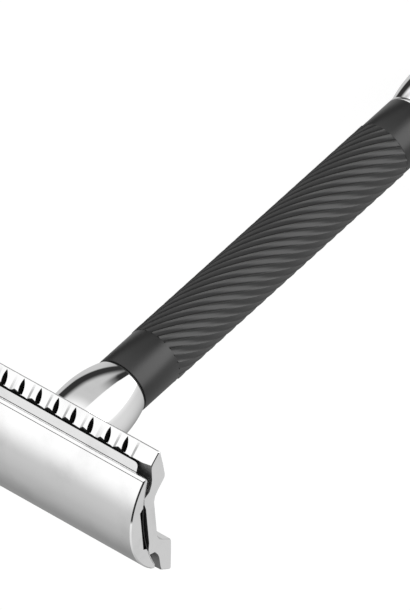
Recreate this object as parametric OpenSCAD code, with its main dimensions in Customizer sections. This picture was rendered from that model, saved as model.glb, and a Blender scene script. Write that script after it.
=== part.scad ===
// Twist-to-open double-edge safety razor, standing upright on the end of its knob.
// Origin: centre of the knob's flat end face. +Z runs up the handle to the head.
// X runs along the head and the blade's edges, Y runs across the head.
// Heights in the head are given as drops below or rises above the guard plane, the flat
// upper face of the guard that the blade's edges overhang.

/* [Knob] */
// Length of the twist knob
knob_len = 13.65; // [11:0.05:18]
// Radius of the knob at its widest
knob_r = 5.8; // [5.5:0.1:6.5]
// Radius of the knob where it meets the handle
knob_neck_r = 4.65; // [4.6:0.05:4.9]
// Height of the knob's widest place above its end face
knob_wide_z = 6.2; // [5:0.1:7]

/* [Handle] */
// Length of the black grip
grip_len = 67.85; // [55:0.05:80]
// Radius of the grip's smooth end bands
grip_r = 4.75; // [4.7:0.05:5.2]
// Height of the spiral ribs over the smooth bands
rib_rise = 0.1; // [0.05:0.01:0.2]
// Length of the smooth band at the knob
band_low = 6.7; // [5:0.1:9]
// Length of the smooth band at the neck
band_high = 7.8; // [5:0.1:9]
// Thickness of the bright rim under the grip
rim_t = 0.5; // [0.4:0.05:1]
// Thickness of the black ring between grip and neck
ring_t = 0.4; // [0.2:0.05:0.6]

/* [Neck] */
// Length of the neck, from the black ring to the head
neck_len = 17.2; // [17:0.1:22]
// Radius of the neck at its widest
neck_r = 5.8; // [5.6:0.1:6.5]
// Radius of the neck at the head
neck_top_r = 3.8; // [3.8:0.1:4.4]
// Distance of the neck's widest place above its lower end
neck_wide = 6.3; // [6:0.1:8]

/* [Head] */
// Length of the head along the blade
head_len = 42.8; // [41:0.1:44]
// Half width of the cap
cap_half = 9.3; // [9:0.1:9.5]
// Radius of the cap's arched top
cap_top_r = 12.7; // [12.5:0.1:15]
// Rise of the cap's crown above the guard plane
crown_rise = 5.65; // [5.5:0.05:6.2]
// Half width over the guards
guard_half = 12.4; // [12:0.1:13]
// Distance between the middles of neighbouring drain slots
slot_pitch = 3.29; // [3.1:0.01:3.5]
// Number of drain slots in each guard
slot_count = 11; // [9:2:11]

/* [Blade] */
// Width of the flat blade from edge to edge
blade_width = 22; // [21.9:0.1:22.2]
// Length of the sharpened edges
edge_len = 38.5; // [37:0.1:38.5]
// Thickness of the blade
blade_t = 0.1; // [0.08:0.01:0.15]
// Radius that the clamped blade is bent to
blade_bend_r = 24; // [22:0.5:28]

/* [Mechanism] */
// Radius of the spindle that runs through the handle
spindle_r = 1.9; // [1.8:0.05:1.9]
// Radius of the cap's threaded stud
stud_r = 2.45; // [2.4:0.05:2.45]

/* [Hidden] */

$fn = 96;
run = 0.05;                     // radial clearance of a running fit
seat = 0.01;                    // clearance of a seated piece
eps = 0.5;                      // how far a cutter runs past the face it cuts

// Heights of the handle's joints
knob_gap = 0.12;
rim_z = knob_len + knob_gap;
grip_z = rim_z + rim_t;
ring_z = grip_z + grip_len;
neck_z = ring_z + ring_t;
plate_z = neck_z + neck_len;    // flat underside of the base plate
plate_drop = 0.1;               // that underside lies this far below the guard plane
guard_z = plate_z + plate_drop; // the guard plane
crown_z = guard_z + crown_rise;

// Chrome, black and brass
chrome = [0.86, 0.87, 0.88];
steel = [0.72, 0.73, 0.75];
brass = [0.78, 0.65, 0.38];
black = [0.12, 0.12, 0.13];
nylon = [0.9, 0.89, 0.85];

// Head, as rises above the guard plane
blade_rise = 2.72;              // underside of the bent blade at the head's middle
recess_rise = 3.2;              // ceiling of the recess under the cap
recess_half = 3.8;
land_half = 4.3;                // inner edge of the cap's clamping lands
plate_rise = 1.85;              // top of the base plate
lift_gap = 0.04;                // clearance over and under the blade

// Blade
bend_axis_z = guard_z + blade_rise - blade_bend_r;
blade_half = blade_bend_r * sin(blade_width / 2 / blade_bend_r * 180 / PI);
tab_half = 9.07;
blade_slot_half = 0.8;
blade_slot_len = 35.5;

// Locating posts
post_r = 1.2;
post_x = 15.5;
post_top = recess_rise + 1;
post_end = 0.5;
post_hole_r = 1.3;
post_hole_floor = 0.35;

// Guard: outline of one half of the plate, as [distance from the middle, rise]
guard_inner = 10.85;           // inner corner of the guard's sloping edge face
guard_lip = 0.01;               // that corner, below the guard plane
guard_drop = 2.04;              // outer corner of that face, below the guard plane
bed_half = 5.9;                 // outer corner of the bed that the blade is bent over
bed_rise = 1.93;
plate_half = [
    [3.6, plate_rise], [4.8, bed_rise], [bed_half, bed_rise],
    [6.3, 0.8], [7.4, 0.2], [8.2, 0], [10.2, 0], [guard_inner, -guard_lip],
    [guard_half, -guard_drop], [12.2, -2.32], [9.2, -2.7], [7.1, -2.9],
    [6.5, -2.75], [5.2, -1.13], [4.5, -0.45], [3.6, -plate_drop]
];
plate_outline = concat(
    plate_half, [for (i = [len(plate_half) - 1 : -1 : 0]) [-plate_half[i].x, plate_half[i].y]]
);
face_tilt = atan2(guard_half - guard_inner, guard_drop - guard_lip);
slot_len = 3.3;                 // length of the leaf that a slot is the outer end of
slot_foot = 0.77;               // the leaf is cut off this far below its middle
slot_width = 0.9;
slot_deep = 4.6;
slot_slant = 12.5;                // lean of the slots along the edge face
slot_shift = 0.35;              // the slots lie this far from the head's middle, on each guard
dip_r = 1.1;                    // scallops of the guard's upper edge between two slots
dip_depth = 0.34;
dip_shift = 0.32;               // their middles, as a share of the slots' pitch
dip_start = 9.9;                // they start this far from the head's middle

// Mechanism, as drops below the guard plane
stud_end = 8;
stud_top = recess_rise + 1.2;
nut_top = 1.2;
nut_bottom = 13;
nut_r = 3.1;
nut_bore_end = 9.1;
spindle_top = 9.65;
bore_top = 0.7;                 // ceiling of the neck's wide bore
socket_top = 13.4;              // where the core tube is let into the neck
tube_r = 3.88;
tube_bore_r = 3.2;
bush_top = 14.3;
bush_len = 5;
washer_top = 13.85;
washer_t = 0.4;
spigot_r = 3.45;
spigot_rise = 0.85;
plate_hole_r = 2.7;

// Knob end
end_bush_r = 2.58;
end_spigot_top = 20;
thrust_r = 3;
spindle_foot = 5;               // height of the spindle's lower end
screw_r = 1.24;
screw_head_r = 2.3;
screw_head_z = 1.6;
screw_seat_z = 3.4;
screw_top = 9;
screw_socket_r = 0.9;
cover_r = 3.2;
cover_t = 0.95;

// A straight round piece or cutter from height a to height b
module rod(r, a, b) {
    translate([0, 0, a]) cylinder(r = r, h = b - a);
}

// A round piece with a through bore
module tube(r, bore_r, a, b) {
    difference() {
        rod(r, a, b);
        rod(bore_r, a - eps, b + eps);
    }
}

// Half section of a barrel: radius wide at height z_wide, falling along an arc to
// radius end at height z_end
module barrel_half(wide, z_wide, end, z_end) {
    drop = wide - end;
    span = abs(z_end - z_wide);
    arc = (span * span + drop * drop) / (2 * drop);
    intersection() {
        translate([wide - arc, z_wide]) circle(r = arc, $fn = 180);
        translate([0, min(z_wide, z_end)]) square([wide, span]);
    }
}

// Lays a section drawn in Y and Z along the whole head
module along_head() {
    rotate([90, 0, 90]) linear_extrude(height = head_len, center = true) children();
}

// A copy on each guard: the second is turned half a turn about the handle
module at_both_guards() {
    for (turn = [0, 180]) rotate([0, 0, turn]) children();
}

// Region under an arc about the blade's bending axis
module under_bend(r) {
    translate([0, bend_axis_z]) circle(r = r, $fn = 180);
}

module cap() {
    color(chrome) difference() {
        along_head() difference() {
            intersection() {
                translate([0, crown_z - cap_top_r]) circle(r = cap_top_r, $fn = 180);
                translate([-cap_half, guard_z]) square([2 * cap_half, crown_rise]);
            }
            under_bend(blade_bend_r + blade_t + lift_gap);
            cap_recess();
        }
        rod(stud_r + seat, guard_z, guard_z + stud_top + seat);
        for (x = [-post_x, post_x])
            translate([x, 0, 0]) rod(post_r + seat, guard_z, guard_z + post_top + seat);
    }
}

module cap_recess() {
    ceiling = guard_z + recess_rise;
    polygon([
        [-recess_half, ceiling], [recess_half, ceiling],
        [land_half, ceiling - 0.6], [land_half, guard_z],
        [-land_half, guard_z], [-land_half, ceiling - 0.6]
    ]);
}

module cap_stud() {
    color(steel) rod(stud_r, guard_z - stud_end, guard_z + stud_top);
}

module locating_post(x) {
    color(chrome) translate([x, 0, 0]) rod(post_r, guard_z + post_end, guard_z + post_top);
}

module blade() {
    color(steel) intersection() {
        along_head() difference() {
            under_bend(blade_bend_r + blade_t);
            under_bend(blade_bend_r);
            translate([-head_len, bend_axis_z - 2 * blade_bend_r])
                square([2 * head_len, 2 * blade_bend_r]);
        }
        translate([0, 0, guard_z - eps]) linear_extrude(height = crown_rise) blade_plan();
    }
}

// Plan of the blade: sharpened part, narrower end tabs, slot and clearance holes
module blade_plan() {
    difference() {
        union() {
            square([edge_len, 2 * blade_half], center = true);
            square([head_len, 2 * tab_half], center = true);
        }
        square([blade_slot_len, 2 * blade_slot_half], center = true);
        circle(r = stud_r + 3 * run);
        for (x = [-post_x, post_x]) translate([x, 0]) circle(r = post_r + 3 * run);
    }
}

module base_plate() {
    color(chrome) difference() {
        along_head() translate([0, guard_z]) polygon(plate_outline);
        rod(plate_hole_r, plate_z - eps, guard_z + blade_rise);
        rod(spigot_r + seat, plate_z - eps, plate_z + spigot_rise + seat);
        for (x = [-post_x, post_x])
            translate([x, 0, 0]) rod(post_hole_r, guard_z + post_hole_floor, guard_z + blade_rise);
        at_both_guards() guard_cutters();
    }
}

// Drain slots and scallops of the guard on the +Y side
module guard_cutters() {
    for (i = [0 : slot_count - 1]) translate([(i - (slot_count - 1) / 2) * slot_pitch - slot_shift, 0, 0]) {
        translate([0, guard_inner, guard_z - guard_lip]) rotate([face_tilt - 90, 0, 0])
            rotate([0, 0, slot_slant]) translate([0, 0, -slot_deep])
                linear_extrude(height = slot_deep + eps) slot_outline();
        translate([-dip_shift * slot_pitch, 0, 0]) dip();
    }
}

// Outline of a drain slot, from its blunt foot at the guard's inner corner to its point
module slot_outline() {
    intersection() {
        translate([0, slot_foot - 0.05]) leaf(slot_len, slot_width);
        translate([-slot_width, -0.05]) square([2 * slot_width, slot_len]);
    }
}

// A leaf outline with pointed ends, its length along Y
module leaf(length, width) {
    arc = (length * length / 4 + width * width / 4) / width;
    intersection() {
        translate([arc - width / 2, 0]) circle(r = arc);
        translate([width / 2 - arc, 0]) circle(r = arc);
    }
}

// A round-bottomed scallop across the guard's flat, deepest at its inner corner
module dip() {
    lean = atan2(dip_depth, guard_inner - dip_start);
    translate([0, guard_inner, guard_z + dip_r - dip_depth]) rotate([-90 - lean, 0, 0])
        cylinder(r = dip_r, h = 3 * (guard_inner - dip_start), center = true);
}

module neck() {
    wide_z = neck_z + neck_wide;
    color(chrome) difference() {
        union() {
            rotate_extrude() {
                barrel_half(neck_r, wide_z, grip_r, neck_z);
                barrel_half(neck_r, wide_z, neck_top_r, plate_z);
            }
            rod(spigot_r, plate_z - eps, plate_z + spigot_rise);
        }
        rod(plate_hole_r, guard_z - bore_top - eps, guard_z + blade_rise);
        rod(nut_r + run, guard_z - socket_top - eps, guard_z - bore_top);
        rod(tube_r + seat, neck_z - eps, guard_z - socket_top);
    }
}

module neck_ring() {
    color(black) tube(grip_r - 0.2, tube_r + seat, ring_z + seat, neck_z - seat);
}

module core_tube() {
    color(steel) tube(tube_r, tube_bore_r, grip_z + seat, guard_z - socket_top - seat);
}

module grip_sleeve() {
    bevel = 0.15;
    low = grip_z + seat;
    high = ring_z - seat;
    color(black) rotate_extrude() difference() {
        union() {
            polygon([
                [0, low], [grip_r - bevel, low], [grip_r, low + bevel],
                [grip_r, high - bevel], [grip_r - bevel, high], [0, high]
            ]);
            translate([0, grip_z + band_low])
                square([grip_r + rib_rise, grip_len - band_low - band_high]);
        }
        translate([-eps, low - eps]) square([tube_r + seat + eps, grip_len + 2 * eps]);
    }
}

module upper_bush() {
    color(nylon) tube(tube_bore_r - seat, spindle_r + run,
                      guard_z - bush_top - bush_len, guard_z - bush_top);
}

module wave_washer() {
    color(steel) tube(tube_bore_r - 4 * run, spindle_r + 4 * run,
                      guard_z - washer_top - washer_t, guard_z - washer_top);
}

module end_rim() {
    color(chrome) difference() {
        union() {
            rod(grip_r, rim_z, grip_z);
            rod(tube_bore_r - seat, rim_z, end_spigot_top);
        }
        rod(end_bush_r + seat, rim_z - eps, end_spigot_top + eps);
        rod(thrust_r + seat, rim_z - eps, grip_z - 0.1);
    }
}

module lower_bush() {
    color(nylon) tube(end_bush_r, spindle_r + run, grip_z, end_spigot_top);
}

module thrust_washer() {
    color(brass) tube(thrust_r, spindle_r + run, knob_len + 0.04, grip_z - 0.1 - seat);
}

module spindle() {
    color(steel) difference() {
        rod(spindle_r, spindle_foot, guard_z - spindle_top);
        rod(screw_r + seat, spindle_foot - eps, screw_top + 2);
    }
}

module spindle_nut() {
    color(brass) difference() {
        rod(nut_r, guard_z - nut_bottom, guard_z - nut_top);
        rod(stud_r + run, guard_z - nut_bore_end, guard_z);
        rod(spindle_r + seat, guard_z - nut_bottom - eps, guard_z - spindle_top + seat);
    }
}

module knob() {
    color(chrome) difference() {
        rotate_extrude() {
            barrel_half(knob_r, knob_wide_z, knob_neck_r, knob_len);
            barrel_half(knob_r, knob_wide_z, knob_neck_r, 0);
        }
        rod(spindle_r + seat, spindle_foot - seat, knob_len + eps);
        rod(screw_r + 0.1, screw_head_z, knob_len);
        rod(screw_head_r + 0.1, -eps, screw_seat_z);
        rod(cover_r + seat, -eps, cover_t + seat);
    }
}

module knob_screw() {
    color(steel) difference() {
        union() {
            rod(screw_head_r, screw_head_z, screw_seat_z - seat);
            rod(screw_r, screw_head_z, screw_top);
        }
        translate([0, 0, screw_head_z - eps]) cylinder(r = screw_socket_r, h = 1 + eps, $fn = 6);
    }
}

module knob_cover() {
    color(chrome) rod(cover_r, 0, cover_t);
}

cap();
cap_stud();
locating_post(-post_x);  // locating_post_left
locating_post(post_x);  // locating_post_right
blade();
base_plate();
neck();
neck_ring();
core_tube();
grip_sleeve();
upper_bush();
wave_washer();
end_rim();
lower_bush();
thrust_washer();
spindle();
spindle_nut();
knob();
knob_screw();
knob_cover();
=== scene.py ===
"""Studio scene of a twist-to-open double-edge safety razor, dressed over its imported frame."""

from __future__ import annotations

import logging
import math
from collections.abc import Callable, Iterable, Sequence
from dataclasses import dataclass
from enum import Enum

import bpy
from mathutils import Matrix, Vector


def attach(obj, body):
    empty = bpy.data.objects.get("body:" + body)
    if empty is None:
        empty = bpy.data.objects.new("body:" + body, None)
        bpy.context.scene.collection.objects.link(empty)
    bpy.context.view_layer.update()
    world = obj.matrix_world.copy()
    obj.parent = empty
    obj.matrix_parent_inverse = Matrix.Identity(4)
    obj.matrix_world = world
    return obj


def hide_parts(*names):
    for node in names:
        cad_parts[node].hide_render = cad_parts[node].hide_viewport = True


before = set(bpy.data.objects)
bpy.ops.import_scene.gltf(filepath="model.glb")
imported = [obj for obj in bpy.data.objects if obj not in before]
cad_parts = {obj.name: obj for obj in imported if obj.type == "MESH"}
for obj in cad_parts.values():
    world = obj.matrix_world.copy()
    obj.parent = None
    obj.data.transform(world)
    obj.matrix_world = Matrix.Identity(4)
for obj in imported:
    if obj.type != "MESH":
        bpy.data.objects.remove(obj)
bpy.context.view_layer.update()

LOG = logging.getLogger("razor")
MM = 0.001
Point = tuple[float, float]
Span = tuple[float, float]


# --- Outlines ---


def arc(centre: Point, radius: float, start: float, end: float, steps: int) -> list[Point]:
    """Points along a circular arc.

    Args:
        centre: Middle of the circle.
        radius: Its radius.
        start: Angle of the first point, in degrees.
        end: Angle of the last point, in degrees.
        steps: Number of chords that the arc is divided into.

    Returns:
        The points, both ends included.
    """
    angles = [math.radians(start + (end - start) * i / steps) for i in range(steps + 1)]
    return [(centre[0] + radius * math.cos(a), centre[1] + radius * math.sin(a)) for a in angles]


def rounded(corners: Sequence[tuple[float, float, float]], steps: int = 5) -> list[Point]:
    """Outline through corners that are each rounded by a radius.

    Args:
        corners: Each corner as its two coordinates and its rounding radius.
        steps: Number of chords on each rounded corner.

    Returns:
        The outline's points, in the order of the corners.
    """
    outline: list[Point] = []
    for i, (x, y, radius) in enumerate(corners):
        here = Vector((x, y))
        back = Vector(corners[i - 1][:2]) - here
        ahead = Vector(corners[(i + 1) % len(corners)][:2]) - here
        turn = back.angle(ahead)
        if radius <= 0 or turn > math.radians(178):
            outline.append((x, y))
            continue
        reach = min(radius / math.tan(turn / 2), 0.49 * back.length, 0.49 * ahead.length)
        first, last = here + back.normalized() * reach, here + ahead.normalized() * reach
        for k in range(steps + 1):
            t = k / steps
            spot = first * (1 - t) ** 2 + here * (2 * t * (1 - t)) + last * t**2
            outline.append((spot.x, spot.y))
    return outline


def barrel_side(wide: Point, end: Point, steps: int) -> list[Point]:
    """Side of a barrel, as radius and height, from its widest place to one end.

    Args:
        wide: Radius and height of the widest place, where the side runs upright.
        end: Radius and height of the end.
        steps: Number of chords.

    Returns:
        The points from the widest place to the end.
    """
    drop, span = wide[0] - end[0], end[1] - wide[1]
    radius = (span * span + drop * drop) / (2 * drop)
    reach = math.degrees(math.asin(span / radius))
    return arc((wide[0] - radius, wide[1]), radius, 0, reach, steps)


# --- Modelling ---


def deselect_all() -> None:
    """Deselect every object, so that the next operator acts on the new piece alone."""
    if bpy.context.object and bpy.context.object.mode != "OBJECT":
        bpy.ops.object.mode_set(mode="OBJECT")
    bpy.ops.object.select_all(action="DESELECT")


def make_active(piece: bpy.types.Object) -> None:
    """Select one piece and make it the active one."""
    deselect_all()
    piece.select_set(True)
    bpy.context.view_layer.objects.active = piece


def named(name: str) -> bpy.types.Object:
    """Give the newly added primitive its name and return it."""
    piece = bpy.context.object
    piece.name = name
    piece.data.name = name
    return piece


def select_edges(piece: bpy.types.Object, wanted: Callable[[Vector, Vector], bool]) -> int:
    """Leave a piece in edit mode with only some of its edges selected.

    Args:
        piece: The piece to work on.
        wanted: Says, from the places of an edge's two ends, whether it is selected.

    Returns:
        The number of edges selected.
    """
    make_active(piece)
    bpy.ops.object.mode_set(mode="EDIT")
    bpy.ops.mesh.select_mode(type="EDGE")
    bpy.ops.mesh.select_all(action="DESELECT")
    bpy.ops.object.mode_set(mode="OBJECT")
    mesh, count = piece.data, 0
    for edge in mesh.edges:
        a, b = (mesh.vertices[i].co for i in edge.vertices)
        edge.select = wanted(a, b)
        count += edge.select
    bpy.ops.object.mode_set(mode="EDIT")
    return count


def close_up(piece: bpy.types.Object, crease: float = 30.0) -> bpy.types.Object:
    """Merge doubles, turn the faces outward and smooth all but the sharp edges.

    Args:
        piece: The piece to finish.
        crease: Angle in degrees past which an edge stays sharp.

    Returns:
        The same piece.
    """
    make_active(piece)
    bpy.ops.object.mode_set(mode="EDIT")
    bpy.ops.mesh.select_mode(type="VERT")
    bpy.ops.mesh.select_all(action="SELECT")
    bpy.ops.mesh.remove_doubles(threshold=1e-7)
    bpy.ops.mesh.normals_make_consistent(inside=False)
    bpy.ops.object.mode_set(mode="OBJECT")
    bpy.ops.object.shade_smooth_by_angle(angle=math.radians(crease))
    return piece


@dataclass(frozen=True)
class Ring:
    """One ring of a turned piece.

    Attributes:
        r: Radius, in millimetres.
        z: Height above the razor's foot, in millimetres.
        swell: Adds to the radius at an angle in radians, where the ring isn't round.
        twist: Turn of the ring's vertices about the axis, in radians.
    """

    r: float
    z: float
    swell: Callable[[float], float] | None = None
    twist: float = 0.0


def turned(name: str, rings: Sequence[Ring], sides: int = 96) -> bpy.types.Object:
    """A piece turned about the handle's axis: an open cylinder, cut into rings and shaped.

    Args:
        name: Name of the piece.
        rings: The rings along its section. The last one closes onto the first, or both
            lie on the axis.
        sides: Number of vertices in a ring.

    Returns:
        The closed piece.
    """
    deselect_all()
    bpy.ops.mesh.primitive_cylinder_add(vertices=sides, radius=1, depth=1, end_fill_type="NOTHING")
    piece = named(name)
    rows = len(rings) - 1
    select_edges(piece, lambda a, b: abs(a.z - b.z) > 0.5)
    bpy.ops.mesh.subdivide(number_cuts=rows - 1)
    bpy.ops.object.mode_set(mode="OBJECT")
    for vertex in piece.data.vertices:
        ring = rings[round((vertex.co.z + 0.5) * rows)]
        angle = math.atan2(vertex.co.y, vertex.co.x)
        radius = ring.r + (ring.swell(angle) if ring.swell else 0.0)
        angle += ring.twist
        vertex.co = Vector((radius * math.cos(angle), radius * math.sin(angle), ring.z)) * MM
    return close_up(piece)


def rings_of(outline: Iterable[Point]) -> list[Ring]:
    """Round rings through the points of a section, closed onto the first."""
    rings = [Ring(r, z) for r, z in outline]
    return rings + [rings[0]]


def extruded(name: str, outline: Sequence[Vector],
             push: tuple[float, float, float]) -> bpy.types.Object:
    """A block with a flat face: a circle shaped to an outline, filled and extruded.

    Args:
        name: Name of the piece.
        outline: The points of the flat face, in millimetres.
        push: How far the face is extruded along each axis, in millimetres.

    Returns:
        The closed block.
    """
    deselect_all()
    bpy.ops.mesh.primitive_circle_add(vertices=len(outline), radius=1, fill_type="NGON")
    piece = named(name)
    for vertex, place in zip(piece.data.vertices, outline):
        vertex.co = place * MM
    bpy.ops.object.mode_set(mode="EDIT")
    bpy.ops.mesh.select_all(action="SELECT")
    bpy.ops.mesh.extrude_region_move(
        TRANSFORM_OT_translate={"value": tuple(step * MM for step in push)})
    bpy.ops.mesh.select_all(action="SELECT")
    bpy.ops.mesh.normals_make_consistent(inside=False)
    bpy.ops.object.mode_set(mode="OBJECT")
    return piece


def prism(name: str, outline: Sequence[Point], length: float, chamfer: float,
          soft: Callable[[Vector], bool]) -> bpy.types.Object:
    """A bar along X, extruded from its section in Y and Z, with chamfered ends.

    Args:
        name: Name of the piece.
        outline: The section's points in Y and Z, in millimetres.
        length: Length of the bar, centred on the handle's axis, in millimetres.
        chamfer: Width of the flat chamfer round both end faces, in millimetres.
        soft: Says of a corner of the outline whether its edges get that chamfer.

    Returns:
        The closed bar.
    """
    section = [Vector((-length / 2, y, z)) for y, z in outline]
    piece = extruded(name, section, (length, 0, 0))
    select_edges(piece, lambda a, b: a.x * b.x > 0 and soft(a) and soft(b))
    bpy.ops.mesh.bevel(offset=chamfer * MM, segments=1, affect="EDGES")
    bpy.ops.object.mode_set(mode="OBJECT")
    return close_up(piece)


def slice_lengthwise(piece: bpy.types.Object, cuts: int) -> None:
    """Cut the long edges of a bar along X into equal stretches."""
    half = 0.5 * max(vertex.co.x for vertex in piece.data.vertices)
    select_edges(piece, lambda a, b: abs(a.x - b.x) > half)
    bpy.ops.mesh.subdivide(number_cuts=cuts)
    bpy.ops.object.mode_set(mode="OBJECT")


def cut_away(piece: bpy.types.Object, cutter: bpy.types.Object) -> None:
    """Subtract a cutter from a piece, and delete the cutter.

    Args:
        piece: The piece that is cut.
        cutter: The closed shape that is taken away. Its finish lines the cut.
    """
    make_active(piece)
    boolean = piece.modifiers.new("cut", "BOOLEAN")
    boolean.operation = "DIFFERENCE"
    boolean.solver = "EXACT"
    boolean.material_mode = "TRANSFER"
    boolean.object = cutter
    bpy.ops.object.modifier_apply(modifier=boolean.name)
    bpy.data.objects.remove(cutter, do_unlink=True)


def drill(piece: bpy.types.Object, radius: float, depth: float,
          place: tuple[float, float, float], sides: int = 48,
          finish: Finish | None = None) -> None:
    """Drill an upright round hole through a piece.

    Args:
        piece: The piece.
        radius: Radius of the hole, in millimetres.
        depth: Length of the drill, in millimetres.
        place: Middle of the drill, in millimetres.
        sides: Number of sides of the hole.
        finish: Finish of the hole's wall, for a piece that is dressed already.
    """
    deselect_all()
    bpy.ops.mesh.primitive_cylinder_add(vertices=sides, radius=radius * MM, depth=depth * MM,
                                        location=tuple(step * MM for step in place))
    bit = named("drill")
    if finish:
        dress(bit, finish)
    cut_away(piece, bit)


def copies(piece: bpy.types.Object, places: Sequence[Matrix]) -> bpy.types.Object:
    """Join one shape's copies at several places into a single object.

    Args:
        piece: The shape, which becomes the first copy.
        places: Where each copy goes.

    Returns:
        The joined object, at the origin.
    """
    twins = [piece]
    for _ in places[1:]:
        twin = piece.copy()
        twin.data = piece.data.copy()
        bpy.context.scene.collection.objects.link(twin)
        twins.append(twin)
    for twin, place in zip(twins, places):
        twin.data.transform(place)
    make_active(piece)
    for twin in twins:
        twin.select_set(True)
    bpy.ops.object.join()
    return bpy.context.object


# --- Shader maths ---


class Sock:
    """A shader socket that Python's operators work on: each adds the Math node it needs."""

    def __init__(self, tree: bpy.types.NodeTree, socket: bpy.types.NodeSocket) -> None:
        """Wrap one output socket of a node tree."""
        self.tree = tree
        self.socket = socket

    def _math(self, operation: str, *values: Sock | float) -> Sock:
        """Add a Math node that works on the given values, in order."""
        return add_node(self.tree, "ShaderNodeMath", {"operation": operation},
                        dict(enumerate(values)))

    def __add__(self, other: Sock | float) -> Sock:
        """Sum."""
        return self._math("ADD", self, other)

    __radd__ = __add__

    def __sub__(self, other: Sock | float) -> Sock:
        """Difference."""
        return self._math("SUBTRACT", self, other)

    def __rsub__(self, other: float) -> Sock:
        """Reflected difference."""
        return self._math("SUBTRACT", other, self)

    def __mul__(self, other: Sock | float) -> Sock:
        """Product."""
        return self._math("MULTIPLY", self, other)

    __rmul__ = __mul__

    def __pow__(self, other: float) -> Sock:
        """Power."""
        return self._math("POWER", self, other)

    def call(self, operation: str, *values: Sock | float) -> Sock:
        """Apply any other Math operation to this value and more.

        Args:
            operation: The Math node's operation, such as SINE or MAXIMUM.
            *values: The operation's further values.

        Returns:
            The result.
        """
        return self._math(operation, self, *values)

    def ramp(self, low: float, high: float) -> Sock:
        """Smooth step from 0 at low to 1 at high. Low may be the larger of the two."""
        if low > high:
            return 1 - self.ramp(high, low)
        return add_node(self.tree, "ShaderNodeMapRange", {"interpolation_type": "SMOOTHSTEP"},
                        {"Value": self, "From Min": low, "From Max": high})

    def window(self, rise: Span, fall: Span) -> Sock:
        """Smooth window: 0 before the rise, 1 from there to the fall, and 0 after it."""
        return self.ramp(*rise) * self.ramp(fall[1], fall[0])


def add_node(tree: bpy.types.NodeTree, kind: str, settings: dict[str, object] | None = None,
             inputs: dict[str | int, object] | None = None, output: str | int = 0) -> Sock:
    """Add any node.

    Args:
        tree: The node tree that it goes in.
        kind: The node's type.
        settings: Its settings, such as a Math node's operation.
        inputs: Values or links of its sockets, by name or number.
        output: The output that is wanted.

    Returns:
        That output.
    """
    node = tree.nodes.new(kind)
    for key, value in (settings or {}).items():
        setattr(node, key, value)
    for key, value in (inputs or {}).items():
        if isinstance(value, Sock):
            tree.links.new(value.socket, node.inputs[key])
        else:
            node.inputs[key].default_value = value
    return Sock(tree, node.outputs[output])


def axes_of(tree: bpy.types.NodeTree, vector: Sock) -> tuple[Sock, ...]:
    """Split a vector into its three coordinates."""
    split = add_node(tree, "ShaderNodeSeparateXYZ", inputs={"Vector": vector})
    return tuple(Sock(tree, output) for output in split.socket.node.outputs)


def feed(shader: bpy.types.Node, links: dict[str, Sock]) -> None:
    """Link values to a shader's sockets, by name."""
    for name, value in links.items():
        value.tree.links.new(value.socket, shader.inputs[name])


def mix_colours(tree: bpy.types.NodeTree, factor: Sock, a: object, b: object) -> Sock:
    """Blend two colours by a factor.

    Args:
        tree: The node tree.
        factor: 0 for the first colour, 1 for the second.
        a: The first colour, as a link or as red, green, blue and alpha.
        b: The second colour.

    Returns:
        The blended colour.
    """
    return add_node(tree, "ShaderNodeMix", {"data_type": "RGBA"}, {0: factor, 6: a, 7: b}, 2)


def grey(value: float) -> tuple[float, float, float, float]:
    """A neutral colour."""
    return (value, value, value, 1.0)


# --- Finishes ---


# Crests between these radii lighten with wear and a painted highlight.
RIB_WEAR_AND_SHEEN = (4.78, 4.86)  # radii of the ribs' flanks and crests, in millimetres


class Grain(Enum):
    """How the fine marks of a metal finish run."""

    ALL_ROUND = "polished, with hairlines in every direction"
    TURNED = "lines round the handle's axis"
    LENGTHWISE = "lines along the head"


@dataclass(frozen=True)
class Finish:
    """A finish that pieces are dressed in.

    Attributes:
        name: Name of the material.
        colour: Base colour.
    """

    name: str
    colour: tuple[float, float, float]

    def material(self) -> bpy.types.Material:
        """Build the material, or return it if it is there already."""
        if self.name in bpy.data.materials:
            return bpy.data.materials[self.name]
        material = bpy.data.materials.new(self.name)
        material.use_nodes = True
        self.shade(material.node_tree, material.node_tree.nodes["Principled BSDF"])
        return material

    def shade(self, tree: bpy.types.NodeTree, shader: bpy.types.Node) -> None:
        """Add the finish's nodes and link them to the shader."""
        raise NotImplementedError


@dataclass(frozen=True)
class Metal(Finish):
    """A bare or plated metal finish.

    Attributes:
        roughness: Roughness where it is clean.
        smear: How much roughness handling adds in patches.
        grain: How its fine marks run.
        relief: Height of the fine marks, as a share of a tenth of a millimetre.
    """

    roughness: float = 0.06
    smear: float = 0.06
    grain: Grain = Grain.ALL_ROUND
    relief: float = 0.02

    def shade(self, tree: bpy.types.NodeTree, shader: bpy.types.Node) -> None:
        """Add the finish's nodes and link them to the shader."""
        shader.inputs["Metallic"].default_value = 1.0
        place = add_node(tree, "ShaderNodeTexCoord", output="Object")
        stretch = {
            Grain.ALL_ROUND: (1, 1, 1), Grain.TURNED: (0.15, 0.15, 6), Grain.LENGTHWISE: (0.1, 6, 6),
        }[self.grain]
        fine = add_node(tree, "ShaderNodeMapping", inputs={"Vector": place, "Scale": stretch})
        marks = add_node(tree, "ShaderNodeTexNoise", inputs={
            "Vector": fine, "Scale": 2200.0, "Detail": 4.0, "Roughness": 0.6})
        patches = add_node(tree, "ShaderNodeTexNoise", inputs={
            "Vector": place, "Scale": 160.0, "Detail": 3.0, "Roughness": 0.55})
        wiped = patches.ramp(0.45, 0.75)
        rough = self.roughness + wiped * self.smear + marks * (0.4 * self.roughness)
        tone = mix_colours(tree, wiped * 0.5, (*self.colour, 1), grey(0.82 * self.colour[0]))
        bump = add_node(tree, "ShaderNodeBump", inputs={
            "Strength": 0.25, "Distance": self.relief * 0.1 * MM, "Height": marks})
        feed(shader, {"Roughness": rough, "Base Color": tone, "Normal": bump})


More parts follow.
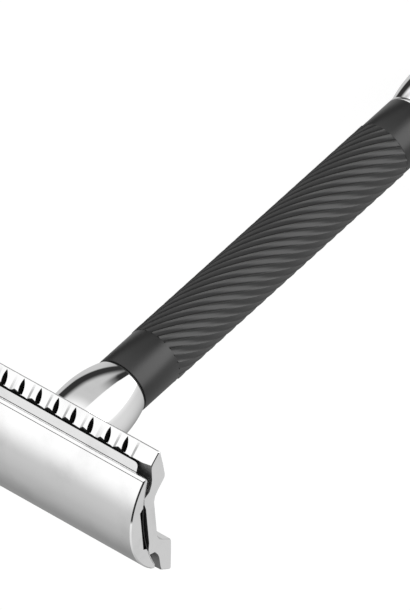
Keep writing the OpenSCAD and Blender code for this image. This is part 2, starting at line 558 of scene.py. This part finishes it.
@dataclass(frozen=True)
class Coating(Finish):
    """A coat or a plastic. Where it is set to, its ribs' crests lighten: wear, and a painted
    highlight.

    Attributes:
        roughness: Roughness of the clean surface.
        shine: Strength of its reflections, 0.5 for plain plastic.
        wear_and_sheen: How much wear and a painted highlight brighten it between the two radii of
            RIB_WEAR_AND_SHEEN.
        pebble: Size of the fine texture, in millimetres.
    """

    roughness: float = 0.45
    shine: float = 0.5
    wear_and_sheen: float = 0.0
    pebble: float = 0.12

    def shade(self, tree: bpy.types.NodeTree, shader: bpy.types.Node) -> None:
        """Add the finish's nodes and link them to the shader."""
        shader.inputs["Specular IOR Level"].default_value = self.shine
        place = add_node(tree, "ShaderNodeTexCoord", output="Object")
        fine = add_node(tree, "ShaderNodeTexNoise", inputs={
            "Vector": place, "Scale": 1 / (self.pebble * MM), "Detail": 2.0})
        broad = add_node(tree, "ShaderNodeTexNoise", inputs={
            "Vector": place, "Scale": 90.0, "Detail": 3.0})
        across, depth, _ = axes_of(tree, place)
        radius = (across * across + depth * depth) ** 0.5
        crest = radius.ramp(*(reach * MM for reach in RIB_WEAR_AND_SHEEN))
        # Wear and painted highlight: the ribs' crests lighten to grey in patches.
        rub_and_sheen = crest * self.wear_and_sheen * broad.ramp(0.3, 0.7)
        tone = mix_colours(tree, rub_and_sheen, (*self.colour, 1), grey(0.4))
        rough = self.roughness + (fine - 0.5) * 0.12 - rub_and_sheen * 0.3
        bump = add_node(tree, "ShaderNodeBump", inputs={
            "Strength": 0.35, "Distance": 0.01 * MM, "Height": fine})
        feed(shader, {"Base Color": tone, "Roughness": rough, "Normal": bump})


HEAD_CHROME = Metal("head_chrome", (0.9, 0.9, 0.9), roughness=0.04)
# Painted shade: dark grey metal in the cap's recess and in the plate's hollows under the blade.
CAVITY_SHADE = Metal("painted_cavity_shade", (0.25, 0.25, 0.25), roughness=0.4, smear=0.1)
# Painted shade: near-black metal under the guards' edges and on the blade's middle, which the cap
# covers.
DEEP_SHADE = Metal("painted_deep_shade", (0.09, 0.09, 0.09), roughness=0.4, smear=0.1)
HANDLE_CHROME = Metal("handle_chrome", (0.9, 0.9, 0.9), roughness=0.03, smear=0.03,
                      grain=Grain.TURNED)
BLADE_STEEL = Metal("honed_steel", (0.99, 0.99, 0.99), roughness=0.07, smear=0.04,
                    grain=Grain.LENGTHWISE)
PLAIN_STEEL = Metal("turned_steel", (0.6, 0.6, 0.61), roughness=0.25, grain=Grain.TURNED)
BRASS = Metal("turned_brass", (0.78, 0.62, 0.32), roughness=0.22, grain=Grain.TURNED)
# Painted shade: near-black walls for the drain slots, and the cap's fine dark lines.
SLOT_SHADE = Coating("slot_shade", (0.015, 0.015, 0.015), roughness=0.6, shine=0.1)
BLACK_COAT = Coating("black_coat", (0.014, 0.014, 0.014), roughness=0.34, shine=0.5, wear_and_sheen=0.12)
BLACK_RING = Coating("ring_coat", (0.015, 0.015, 0.015), roughness=0.4)
NYLON = Coating("moulded_nylon", (0.8, 0.79, 0.75), roughness=0.5)


def paint_shade(piece: bpy.types.Object, finish: Finish,
                inside: Callable[[Vector, Vector], bool]) -> None:
    """Paint the faces of a hollow, a fine line or a hidden middle with a dark finish of their own,
    as painted shade.

    Args:
        piece: Cap, guard plate or blade.
        finish: The finish of those faces, a dark one that paints their shade.
        inside: Says, from a face's normal and centre, whether it is one of them.
    """
    piece.data.materials.append(finish.material())
    for face in piece.data.polygons:
        if inside(face.normal, face.center):
            face.material_index = len(piece.data.materials) - 1


def dress(piece: bpy.types.Object, finish: Finish) -> None:
    """Give a piece one finish all over."""
    piece.data.materials.clear()
    piece.data.materials.append(finish.material())
    piece.data.polygons.foreach_set("material_index", [0] * len(piece.data.polygons))


def fit(piece: bpy.types.Object, finish: Finish, body: str, node: str) -> None:
    """Dress a piece and put it in its CAD node's place.

    Args:
        piece: The finished piece.
        finish: Its finish. A piece that has finishes already keeps them.
        body: The body that it rides on.
        node: The CAD node that it stands for.
    """
    if not piece.data.materials:
        dress(piece, finish)
    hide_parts(node)
    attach(piece, body)
    LOG.info("%s: %d faces on %s", piece.name, len(piece.data.polygons), body)


# --- The head ---


@dataclass
class Head:
    """Cap, blade and guard plate. Sizes in millimetres, heights above the guard plane.

    Attributes:
        length: Length along the blade.
        guard_z: Height of the guard plane above the razor's foot.
        crown: Height of the cap's top.
        cap_radius: Radius of the cap's arch.
        cap_half: Half of the cap's width.
        cap_gap: Radius of the lands that clamp the blade.
        land_inner: Distance from the middle to each land.
        recess: Height of the ceiling of the cap's recess.
        recess_half: Half of that ceiling's width.
        bend_radius: Radius that the blade is bent to.
        blade_rise: Height of the bent blade's middle.
        blade_thick: Thickness of the blade.
        blade_half: Half of the flat blade's width at its edges.
        tab_half: Half of its width at the end tabs.
        edge_half: Half of the edges' length.
        hone: Width of the honed bevels.
        hidden_half: Distance from the middle within which the head's insides are painted dark, as
            shade.
        guard_inner: Distance from the middle to the guards' inner corners.
        guard_lip: Depth of those corners under the guard plane.
        corner: Width of the strip along a corner that moves with the edge face.
        end_relief: How far the corners sink at the very ends of the guards.
        relief_from: Distance from the middle, along the head, where that starts.
        relief_span: Length over which it grows to its full depth.
        guard_half: Distance from the middle to the guards' outer edges.
        guard_drop: Depth of the outer edges.
        plate_cuts: Number of cuts along the plate, for its scallops.
        slot_pitch: Distance from one drain slot to the next.
        slot_count: Number of slots in each guard.
        slot_shift: How far the rows of slots sit off the middle.
        slot_slant: Slant of the slots, in degrees.
        dip_depth: Depth of the dips in the guards' corners, one for each slot.
        dip_from: Distance from the middle at which the dips begin.
        dip_fall: Share of the pitch over which a dip sinks.
        dip_climb: Share of the pitch over which it climbs back.
        groove_depth: Depth of the shallow groove that runs up the edge face at each dip.
        groove_shift: How far the groove lies before the dip, as a share of the pitch.
        groove_width: Half of the groove's width, as a share of the pitch.
        stud_radius: Radius over the stud's thread.
        post_x: Distance from the middle to each locating post.
    """

    length: float = 42.8
    guard_z: float = 99.82
    crown: float = 5.65
    cap_radius: float = 12.7
    cap_half: float = 9.3
    cap_gap: float = 24.14
    land_inner: float = 4.3
    recess: float = 3.2
    recess_half: float = 3.8
    bend_radius: float = 24.0
    blade_rise: float = 2.72
    blade_thick: float = 0.1
    blade_half: float = 11.0
    tab_half: float = 9.3
    edge_half: float = 19.25
    hone: float = 1.35
    hidden_half: float = 4.4
    guard_inner: float = 10.85
    guard_lip: float = 0.01
    corner: float = 0.15
    end_relief: float = 0.2
    relief_from: float = 19.8
    relief_span: float = 1.6
    guard_half: float = 12.4
    guard_drop: float = 2.04
    plate_cuts: int = 389
    slot_pitch: float = 3.29
    slot_count: int = 11
    slot_shift: float = -0.35
    slot_slant: float = 12.5
    dip_depth: float = 0.31
    dip_from: float = 9.7
    dip_fall: float = 0.06
    dip_climb: float = 0.52
    groove_depth: float = 0.16
    groove_shift: float = 0.08
    groove_width: float = 0.075
    stud_radius: float = 2.45
    post_x: float = 15.5

    def on_top(self, points: Iterable[Point]) -> list[Point]:
        """Raise an outline from the guard plane's heights to heights above the foot."""
        return [(y, z + self.guard_z) for y, z in points]

    def build_cap(self) -> None:
        """Model the arched cap with its recess and rounded long edges."""
        top = (0.0, self.crown - self.cap_radius)
        under = (0.0, self.blade_rise - self.bend_radius)
        lip = math.degrees(math.asin((self.cap_half - 0.2) / self.cap_radius))
        rim = math.degrees(math.asin((self.cap_half - 0.3) / self.cap_gap))
        land = math.degrees(math.asin(self.land_inner / self.cap_gap))
        arch = arc(top, self.cap_radius, 90 - lip, 90 + lip, 72)
        left_land = arc(under, self.cap_gap, 90 + rim, 90 + land, 14)
        right_land = arc(under, self.cap_gap, 90 - land, 90 - rim, 14)
        edge = [(-self.cap_half + 0.15, arch[-1][1] - 0.08),
                (-self.cap_half, left_land[0][1] + 0.13),
                (-self.cap_half + 0.09, left_land[0][1] + 0.02)]
        recess = [(-self.recess_half, self.recess), (self.recess_half, self.recess)]
        mirrored = [(-y, z) for y, z in reversed(edge)]
        outline = arch + edge + left_land + recess + right_land + mirrored
        middle, reach = (top[1] + self.guard_z) * MM, (self.cap_radius - 0.02) * MM
        cap = prism("razor_cap", self.on_top(outline), self.length, 0.2,
                    lambda p: math.hypot(p.y, p.z - middle) > reach)
        dress(cap, HEAD_CHROME)
        hollow, brow, heel = (
            y * MM for y in (self.land_inner - 0.1, self.cap_half - 0.19, self.cap_half - 0.08))
        # Painted shade in the cap's recess over the blade.
        paint_shade(cap, CAVITY_SHADE, lambda n, c: n.z < -0.2 and abs(c.y) < hollow)
        # Painted dark lines along the cap's long edges: a painted reflection on the brow's chamfer
        # and a painted shadow at the heel over the blade.
        paint_shade(cap, SLOT_SHADE, lambda n, c: (
            n.z > 0.3 and abs(c.y) > brow or n.z < -0.3 and abs(c.y) > heel))
        fit(cap, HEAD_CHROME, "cap", "cap")

    def plate_outline(self) -> list[Point]:
        """Section of the guard plate, with its corners rounded and its edge faces divided."""
        half = [
            (3.6, 1.85, 0.2), (4.8, 2.12, 0.1), (5.9, 1.95, 0.1), (6.3, 0.8, 0.35),
            (7.4, 0.2, 0.5), (8.2, 0.0, 0.3), (10.2, 0.0, 0.0),
            (self.guard_inner, -self.guard_lip, 0.0),
        ]
        divisions = 8
        for k in range(1, divisions):
            t = k / divisions
            half.append((self.guard_inner + (self.guard_half - self.guard_inner) * t,
                         -self.guard_lip - (self.guard_drop - self.guard_lip) * t, 0.0))
        half += [
            (self.guard_half, -self.guard_drop, 0.2), (12.2, -2.32, 0.2), (9.2, -2.7, 0.5),
            (7.1, -2.9, 0.4), (6.5, -2.75, 0.4), (5.2, -1.13, 0.9), (4.5, -0.45, 0.6),
            (3.6, -0.1, 0.5),
        ]
        whole = half + [(-y, z, r) for y, z, r in reversed(half)]
        return self.on_top(rounded(whole, 4))

    def scalloped(self, place: Vector) -> Vector:
        """Where a point of the plain guard plate goes when the guards' edges are scalloped.

        Each guard's inner edge dips just past the middle between two slots and climbs back
        to the next slot. A shallow groove runs up the edge face from each dip.

        Args:
            place: The point on the plain plate.

        Returns:
            The point on the scalloped plate.
        """
        y, drop = abs(place.y) / MM, self.guard_z - place.z / MM
        if y < self.dip_from - 0.1 or not -0.02 < drop < self.guard_drop:
            return place
        side = 1 if place.y < 0 else -1
        along = (-place.x / MM * side - self.slot_shift) / self.slot_pitch
        slotted = abs(along) < self.slot_count / 2
        phase = (along + 0.5) % 1.0
        climb = max(0.0, 1 - (phase / self.dip_climb) ** 2) * min(1.0, phase / self.dip_fall)
        share = max(0.0, drop) / self.guard_drop
        relief = max(0.0, abs(place.x) / MM - self.relief_from) / self.relief_span
        dip = (self.dip_depth * climb * slotted + self.end_relief * relief) * (1 - share)
        sunk_from, sunk_to = self.dip_from, self.guard_inner - 0.1
        sunk = min(1.0, max(0.0, (y - sunk_from) / (sunk_to - sunk_from)))
        new_y = y
        if y > self.guard_inner - self.corner:
            slope = (self.guard_half - self.guard_inner) / self.guard_drop
            away = (phase + self.groove_shift + 0.5) % 1.0 - 0.5
            groove = self.groove_depth * math.exp(-((away / self.groove_width) ** 2))
            new_y = y + dip * slope - groove * (1 - share) ** 0.7 * slotted
        return Vector((place.x, math.copysign(new_y * MM, place.y), place.z - dip * sunk * MM))

    def build_plate(self) -> None:
        """Model the guard plate: bar, scallops, drain slots, holes for stud and posts."""
        plate = prism("guard_plate", self.plate_outline(), self.length, 0.12,
                      lambda p: abs(p.y) > 10.5 * MM or p.z < (self.guard_z - 0.05) * MM)
        slice_lengthwise(plate, self.plate_cuts)
        for vertex in plate.data.vertices:
            vertex.co = self.scalloped(vertex.co)
        dress(plate, HEAD_CHROME)
        middle, corner = self.hidden_half * MM, (self.guard_inner - 0.12) * MM
        trough, under_edge = 6.1 * MM, 9.8 * MM
        # Painted shade on the plate's top, in its middle and in its troughs under the blade and cap.
        paint_shade(plate, CAVITY_SHADE, lambda n, c: n.z > 0.1 and (
            abs(c.y) < middle or trough < abs(c.y) < corner))
        # Darker painted shade on the plate's top under the guards' edges.
        paint_shade(plate, DEEP_SHADE, lambda n, c: n.z > 0.1 and abs(c.x) < self.edge_half * MM
                    and under_edge < abs(c.y) < corner)
        cut_away(plate, self.slot_cutter())
        for x in (-self.post_x, self.post_x):
            drill(plate, 1.3, 3, (x, 0, self.guard_z + 0.35 + 1.5), finish=HEAD_CHROME)
        drill(plate, 2.7, 8, (0, 0, self.guard_z), 64, HEAD_CHROME)
        close_up(plate, 35)
        for face in plate.data.polygons:
            if abs(face.center.y) > (self.guard_inner + 0.02) * MM and face.normal.z > 0.2:
                face.use_smooth = False
        fit(plate, HEAD_CHROME, "handle", "base_plate")

    def slot_cutter(self) -> bpy.types.Object:
        """Cutter for all drain slots: leaf-shaped prisms square to the guards' edge faces."""
        length, width, foot, depth, clear = 3.3, 0.9, 0.77, 1.9, 0.5
        radius = (length**2 + width**2) / (4 * width)
        low = math.degrees(math.asin(foot / radius))
        high = math.degrees(math.asin(length / 2 / radius))
        right = arc((width / 2 - radius, foot), radius, -low, high, 14)
        leaf = right + [(-x, y) for x, y in reversed(right[:-1])]
        cutter = extruded("slot_cutter", [Vector((x, y, -depth)) for x, y in leaf],
                          (0, 0, depth + clear))
        dress(cutter, SLOT_SHADE)
        tilt = math.atan2(self.guard_drop - self.guard_lip, self.guard_half - self.guard_inner)
        corner = Vector((0, self.guard_inner, self.guard_z - self.guard_lip)) * MM
        places = []
        for turn in (0.0, math.pi):
            for i in range(self.slot_count):
                along = (i - (self.slot_count - 1) / 2) * self.slot_pitch + self.slot_shift
                shift = Vector((along * MM, 0, 0))
                places.append(
                    Matrix.Rotation(turn, 4, "Z") @ Matrix.Translation(corner + shift)
                    @ Matrix.Rotation(-tilt, 4, "X")
                    @ Matrix.Rotation(math.radians(self.slot_slant), 4, "Z"))
        return copies(cutter, places)

    def build_blade(self) -> None:
        """Model the blade flat, punch its slot and holes, hone its edges and bend it."""
        half = self.length / 2
        quarter = [
            (half, 0.0, 0.0), (half, self.tab_half, 0.5),
            (self.edge_half + 0.1, self.tab_half, 0.1), (self.edge_half, self.tab_half + 0.1, 0.1),
            (self.edge_half, self.blade_half, 1.1),
        ]
        upper = quarter[1:] + [(-x, y, r) for x, y, r in reversed(quarter[1:])]
        whole = upper + [(-x, -y, r) for x, y, r in upper]
        outline = rounded(whole, 4)
        blade = extruded("razor_blade", [Vector((x, y, 0)) for x, y in outline],
                         (0, 0, self.blade_thick))
        deselect_all()
        bpy.ops.mesh.primitive_cube_add(size=1, scale=(35.5 * MM, 1.6 * MM, 2 * MM))
        slot = named("blade_slot")
        bpy.ops.object.transform_apply(location=False, rotation=False, scale=True)
        cut_away(blade, slot)
        for x, radius in ((-self.post_x, 1.35), (0.0, 2.6), (self.post_x, 1.35)):
            drill(blade, radius, 2, (x, 0, 0))
        make_active(blade)
        bpy.ops.object.mode_set(mode="EDIT")
        lines = [i * 1.2 for i in range(-8, 9)]
        lines += [side * (self.blade_half - self.hone) for side in (-1, 1)]
        for y in lines:
            bpy.ops.mesh.select_all(action="SELECT")
            bpy.ops.mesh.bisect(plane_co=(0, y * MM, 0), plane_no=(0, 1, 0))
        bpy.ops.object.mode_set(mode="OBJECT")
        for vertex in blade.data.vertices:
            vertex.co = self.bent(vertex.co)
        dress(blade, BLADE_STEEL)
        # Painted shade on the blade's middle, which the cap covers.
        paint_shade(blade, DEEP_SHADE, lambda n, c: abs(c.y) < self.hidden_half * MM)
        close_up(blade, 1.2)
        fit(blade, BLADE_STEEL, "blade", "blade")

    def bent(self, flat: Vector) -> Vector:
        """Where a point of the flat blade goes when the blade is honed and bent."""
        across, height = flat.y / MM, flat.z / MM
        thin = min(1.0, max(0.04, (self.blade_half - abs(across)) / self.hone))
        middle = self.blade_thick / 2
        radius = self.bend_radius + middle + (height - middle) * thin
        angle = across / self.bend_radius
        z = self.guard_z + self.blade_rise - self.bend_radius + radius * math.cos(angle)
        return Vector((flat.x, radius * math.sin(angle) * MM, z * MM))

    def build_stud(self) -> None:
        """Model the threaded stud, with a plain shank in the cap and a coned end."""
        bottom, top = self.guard_z - 8.0, self.guard_z + 4.4
        pitch, depth, rows_per_turn = 0.8, 0.42, 6
        root = self.stud_radius - depth
        thread_top = self.guard_z + self.recess

        def thread(z: float) -> Callable[[float], float]:
            """Rise of the thread over its root at one height, by angle."""
            def rise(angle: float) -> float:
                phase = (z / pitch - angle / (2 * math.pi)) % 1.0
                fade = min(1.0, max(0.0, (z - bottom) / 0.9))
                return depth * fade * (1 - abs(2 * phase - 1))
            return rise

        rows = int((thread_top - bottom) / pitch * rows_per_turn)
        rings = [Ring(0, bottom), Ring(root - 0.25, bottom)]
        for i in range(1, rows):
            z = bottom + i * (thread_top - bottom) / rows
            rings.append(Ring(root, z, thread(z)))
        rings += [Ring(self.stud_radius, thread_top), Ring(self.stud_radius, top), Ring(0, top)]
        stud = turned("threaded_stud", rings, 48)
        fit(stud, PLAIN_STEEL, "cap", "cap_stud")

    def build_posts(self) -> None:
        """Model the two locating posts with domed ends."""
        low, high, radius = self.guard_z + 0.5, self.guard_z + 4.2, 1.2
        for name, x in (("left", -self.post_x), ("right", self.post_x)):
            dome = [Ring(radius * math.sin(a), low + 0.45 * (1 - math.cos(a)))
                    for a in (math.radians(18 * k) for k in range(6))]
            rings = dome + [Ring(radius, high), Ring(0, high)]
            post = turned(f"post_{name}", rings, 40)
            post.data.transform(Matrix.Translation((x * MM, 0, 0)))
            fit(post, HEAD_CHROME, "cap", f"locating_post_{name}")

    def build(self) -> None:
        """Build every piece of the head."""
        self.build_cap()
        self.build_plate()
        self.build_blade()
        self.build_stud()
        self.build_posts()


# --- The handle ---


@dataclass
class Handle:
    """Neck, grip, rims and knob. Sizes in millimetres, heights above the razor's foot.

    Attributes:
        knob_top: Height of the knob's joint.
        knob_radius: Radius of the knob at its widest place.
        knob_end: Its radius at both ends.
        knob_wide: Height of its widest place.
        rim_low: Height at which the bright rim begins.
        grip_low: Height at which the grip begins.
        grip_high: Height at which it ends.
        neck_low: Height at which the neck begins.
        neck_high: Height at which it ends, under the guard plate.
        neck_radius: Radius of the neck at its widest place.
        neck_wide: Height of that place over the neck's foot.
        neck_top: Radius of the neck's top.
        nut_bore: Radius of the bore in the neck's top.
        nut_lip: Depth of that bore.
        socket_bore: Radius of the wider bore under it.
        socket_depth: Depth at which that one ends, from the neck's top.
        smooth: Radius of the grip's smooth bands and of the rings beside them.
        crest: Radius of the ribs' crests.
        groove: Radius of the grooves between them.
        band_low: Length of the lower smooth band.
        band_high: Length of the upper one.
        starts: Number of ribs.
        lead: Height in which a rib runs once round the grip.
        rib_power: How sharply a rib rises to its crest.
        rib_sides: Number of vertices across a rib.
        rib_rows: Number of steps along the ribs.
        core: Radius of the seat of the core tube.
    """

    knob_top: float = 13.65
    knob_radius: float = 5.8
    knob_end: float = 4.65
    knob_wide: float = 6.2
    rim_low: float = 13.77
    grip_low: float = 14.27
    grip_high: float = 82.12
    neck_low: float = 82.52
    neck_high: float = 99.72
    neck_radius: float = 5.8
    neck_wide: float = 6.3
    neck_top: float = 3.8
    nut_bore: float = 2.75
    nut_lip: float = 0.6
    socket_bore: float = 3.15
    socket_depth: float = 13.3
    smooth: float = 4.75
    crest: float = 4.85
    groove: float = 4.67
    band_low: float = 6.7
    band_high: float = 7.8
    starts: int = 24
    lead: float = 56.5
    rib_power: float = 2.8
    rib_sides: int = 12
    rib_rows: int = 84
    core: float = 3.89

    def build_neck(self) -> None:
        """Model the bulged chrome neck."""
        wide = (self.neck_radius, self.neck_low + self.neck_wide)
        lower = barrel_side(wide, (self.smooth, self.neck_low), 24)
        upper = barrel_side(wide, (self.neck_top, self.neck_high), 28)
        lip, end = self.neck_high - self.nut_lip, self.neck_high - self.socket_depth
        bores = [(self.nut_bore, self.neck_high), (self.nut_bore, lip), (self.socket_bore, lip),
                 (self.socket_bore, end), (self.core, end), (self.core, self.neck_low + 0.02)]
        section = list(reversed(lower)) + upper[1:] + bores
        neck = turned("neck_barrel", rings_of(section), 128)
        fit(neck, HANDLE_CHROME, "handle", "neck")

    def ribs(self, angle: float) -> float:
        """Rise of the spiral ribs over the groove's floor at an angle."""
        phase = (angle * self.starts / (2 * math.pi)) % 1.0
        away = abs(2 * phase - 1)
        return (self.crest - self.groove) * (1 - away) ** self.rib_power

    def build_grip(self) -> None:
        """Model the black sleeve: smooth band, spiral ribs, smooth band."""
        start, end = self.grip_low + self.band_low, self.grip_high - self.band_high
        low, high = self.grip_low + 0.01, self.grip_high - 0.01
        rim = [(self.core, 0.0), (self.smooth - 0.2, 0.0), (self.smooth - 0.06, 0.06),
               (self.smooth, 0.2)]
        rings = [Ring(r, low + z) for r, z in rim]
        rings += [Ring(self.smooth, start - 0.12), Ring(self.smooth - 0.03, start - 0.02)]
        total = 2 * math.pi * (end - start) / self.lead
        for i in range(self.rib_rows + 1):
            t = i / self.rib_rows
            rings.append(Ring(self.groove, start + (end - start) * t, self.ribs, total * t))
        rings += [Ring(self.smooth - 0.03, end + 0.02, twist=total),
                  Ring(self.smooth, end + 0.12, twist=total)]
        rings += [Ring(r, high - z, twist=total) for r, z in reversed(rim)]
        rings.append(Ring(self.core, low))
        grip = turned("grip_sleeve_ribbed", rings, self.starts * self.rib_sides)
        fit(grip, BLACK_COAT, "handle", "grip_sleeve")

    def build_rings(self) -> None:
        """Model the black ring under the neck and the bright rim over the knob."""
        outer = self.smooth - 0.2
        low, high = self.grip_high + 0.01, self.neck_low - 0.01
        section = rounded([(self.core + 0.01, low, 0), (outer, low, 0.1), (outer, high, 0.1),
                           (self.core + 0.01, high, 0)])
        ring = turned("black_neck_ring", rings_of(section), 96)
        fit(ring, BLACK_RING, "handle", "neck_ring")
        low, high = self.rim_low, self.grip_low
        section = rounded([(3.02, low, 0), (self.smooth, low, 0.12), (self.smooth, high, 0.12),
                           (3.19, high, 0), (3.19, 20.0, 0.1), (2.6, 20.0, 0.1),
                           (2.6, high - 0.1, 0), (3.02, high - 0.1, 0)], 4)
        rim = turned("bright_end_rim", rings_of(section), 96)
        fit(rim, HANDLE_CHROME, "handle", "end_rim")

    def build_knob(self) -> None:
        """Model the flared knob, its end cover and the bore for the spindle."""
        wide = (self.knob_radius, self.knob_wide)
        upper = barrel_side(wide, (self.knob_end, self.knob_top), 26)
        lower = barrel_side(wide, (self.knob_end, 0.0), 26)
        foot = [(3.21, 0.0), (4.35, 0.0), (4.55, 0.05)]
        section = (foot + list(reversed(lower))[2:] + upper[1:-1]
                   + [(self.knob_end, self.knob_top),
                      (1.91, self.knob_top), (1.91, 5.0), (1.34, 5.0), (1.34, 3.4),
                      (2.4, 3.4), (2.4, 0.96), (3.21, 0.96)])
        knob = turned("turning_knob", rings_of(section), 128)
        fit(knob, HANDLE_CHROME, "knob", "knob")
        disc = [Ring(0, 0.12), Ring(1.0, 0.12), Ring(1.15, 0.02), Ring(2.4, 0.0), Ring(3.0, 0.0),
                Ring(3.2, 0.1), Ring(3.2, 0.95), Ring(0, 0.95)]
        cover = turned("knob_end_cover", disc, 96)
        fit(cover, HANDLE_CHROME, "knob", "knob_cover")

    def dress_mechanism(self) -> None:
        """Dress the CAD nodes of the mechanism inside the handle."""
        finishes = {
            "core_tube": PLAIN_STEEL, "spindle": PLAIN_STEEL, "wave_washer": PLAIN_STEEL,
            "knob_screw": PLAIN_STEEL, "spindle_nut": BRASS, "thrust_washer": BRASS,
            "upper_bush": NYLON, "lower_bush": NYLON,
        }
        for node, finish in finishes.items():
            dress(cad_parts[node], finish)
            LOG.info("%s: kept from the frame as %s", node, finish.name)

    def build(self) -> None:
        """Build every piece of the handle."""
        self.build_neck()
        self.build_grip()
        self.build_rings()
        self.build_knob()
        self.dress_mechanism()


# --- The studio ---


@dataclass
class Studio:
    """Floor, light and camera.

    Attributes:
        azimuth: Direction of the camera about the razor, in degrees.
        elevation: Height of the camera over the razor, in degrees.
        roll: Turn of the camera about its own line of sight, in degrees.
        distance: Distance from the razor's axis, in metres.
        aim: Height that the middle of the frame looks at, in millimetres.
        aside: Offset of that middle from the handle's axis in the frame, in millimetres.
        frame_height: Height of the frame at the razor, in millimetres.
        sensor: Height of the camera's sensor, in millimetres.
        room: Brightness of the room in front of the razor.
        wall: Brightness of the patches low and level on the right.
        table: Brightness of the table top, where it is lightest.
        box: Brightness that the light box low on the left adds.
        flag: Brightness of the dark flags.
    """

    azimuth: float = -34.14
    elevation: float = 30.86
    roll: float = 132.09
    distance: float = 1.86
    aim: float = 62.45
    aside: Point = (-0.185, 0.6725)
    frame_height: float = 90.33
    sensor: float = 24.0
    room: float = 1.13
    wall: Span = (0.62, 0.5)
    table: float = 0.62
    box: float = 1.8
    flag: float = 0.035

    def add_camera(self) -> None:
        """Place the camera."""
        a, e, r = (math.radians(v) for v in (self.azimuth, self.elevation, self.roll))
        back = Vector((math.sin(a) * math.cos(e), -math.cos(a) * math.cos(e), math.sin(e)))
        level = Vector((math.cos(a), math.sin(a), 0))
        upright = back.cross(level)
        up = upright * math.cos(r) + level * math.sin(r)
        right = up.cross(back)
        aim = Vector((0, 0, self.aim * MM)) + right * self.aside[0] * MM + up * self.aside[1] * MM
        data = bpy.data.cameras.new("camera")
        data.sensor_fit = "VERTICAL"
        data.sensor_height = self.sensor
        data.lens = self.sensor * self.distance / (self.frame_height * MM)
        data.clip_start = 0.01
        camera = bpy.data.objects.new("camera", data)
        bpy.context.scene.collection.objects.link(camera)
        camera.matrix_world = Matrix((right, up, back)).transposed().to_4x4()
        camera.location = aim + back * self.distance
        bpy.context.scene.camera = camera

    def add_floor(self) -> None:
        """Lay the plain pale floor. It isn't mirrored in the chrome: the sky is."""
        deselect_all()
        bpy.ops.mesh.primitive_circle_add(vertices=64, radius=4, fill_type="NGON")
        floor = named("floor")
        material = bpy.data.materials.new("pale_floor")
        material.use_nodes = True
        tree = material.node_tree
        shader = tree.nodes["Principled BSDF"]
        shader.inputs["Base Color"].default_value = grey(0.45)
        shader.inputs["Roughness"].default_value = 1.0
        shader.inputs["Specular IOR Level"].default_value = 0.0
        shader.inputs["Emission Color"].default_value = grey(1.0)
        shader.inputs["Emission Strength"].default_value = 0.68
        floor.data.materials.append(material)
        floor.visible_glossy = False

    def add_sky(self) -> None:
        """Surround the razor with soft white light and a few dark flags, as a studio does.

        The patches are smooth windows on the bearing round the razor, from +X, and on the
        height over the horizon, both in degrees.
        """
        world = bpy.data.worlds.new("studio")
        bpy.context.scene.world = world
        world.use_nodes = True
        tree = world.node_tree
        x, y, z = axes_of(tree, add_node(tree, "ShaderNodeTexCoord", output="Generated"))
        bearing = y.call("ARCTAN2", x) * (180 / math.pi)
        height = z.call("ARCSINE") * (180 / math.pi)

        # The room: bright in front, dimmer behind, lighter overhead and to the left.
        front = y.ramp(0.25, -0.35)
        back = 0.29 + z.call("MAXIMUM", 0.0) ** 1.4 * 0.42 + x.ramp(0.45, -0.9) * 0.47
        light = back + front * (self.room - back)

        # Two grey patches on the right: one under the horizon, one across it.
        under = height.ramp(-14, -24)
        low = bearing.window((-2, 12), (40, 58)) * under
        light = light + low * (self.wall[0] - light)
        level = bearing.window((-52, -30), (45, 62)) * height.ramp(46, 30)
        light = light + level * height.ramp(-14, -6) * (self.wall[1] - light)

        # The table top under the razor, darker straight below.
        beside = bearing.ramp(-86, -70)
        top = height.ramp(-60, -30) * (1 - beside) + height.ramp(-85, -40) * beside
        band = bearing.window((-103, -101), (12, 24)) * under
        light = light + band * (top * self.table - light)

        # The light box low on the left, which the grip's coat shines in.
        box = bearing.window((-179, -165), (-122, -108)) * height.ramp(-76, -62)
        light = light + box * height.ramp(20, 0) * self.box

        # Dark flags: a slanted one in front, one straight below and one behind.
        slope = height + 25
        flag = ((bearing - slope * 0.95).ramp(-44, -20) * (bearing - slope * 1.25).ramp(14, 5)
                * height.ramp(-4, -10))
        below = height.ramp(-52, -57) * bearing.ramp(-104, -102) * (1 - beside)
        flag = flag + below * (1 - flag)
        behind = bearing.call("ABSOLUTE").ramp(146, 152) * height.window((6, 12), (56, 62))
        dark = flag + behind * (1 - flag)
        light = light * (1 - dark) + dark * self.flag

        colour = mix_colours(tree, light, grey(0.0), grey(1.0))
        colour.socket.node.clamp_factor = False
        background = tree.nodes["Background"]
        tree.links.new(colour.socket, background.inputs["Color"])
        background.inputs["Strength"].default_value = 1.0

    def build(self) -> None:
        """Set up the whole studio."""
        view = bpy.context.scene.view_settings
        view.view_transform = "Standard"
        view.look = "None"
        self.add_camera()
        self.add_floor()
        self.add_sky()


def main() -> None:
    """Build the studio and the razor."""
    logging.basicConfig(level=logging.INFO, format="%(name)s: %(message)s")
    Studio().build()
    Head().build()
    Handle().build()


if __name__ == "__main__":
    main()
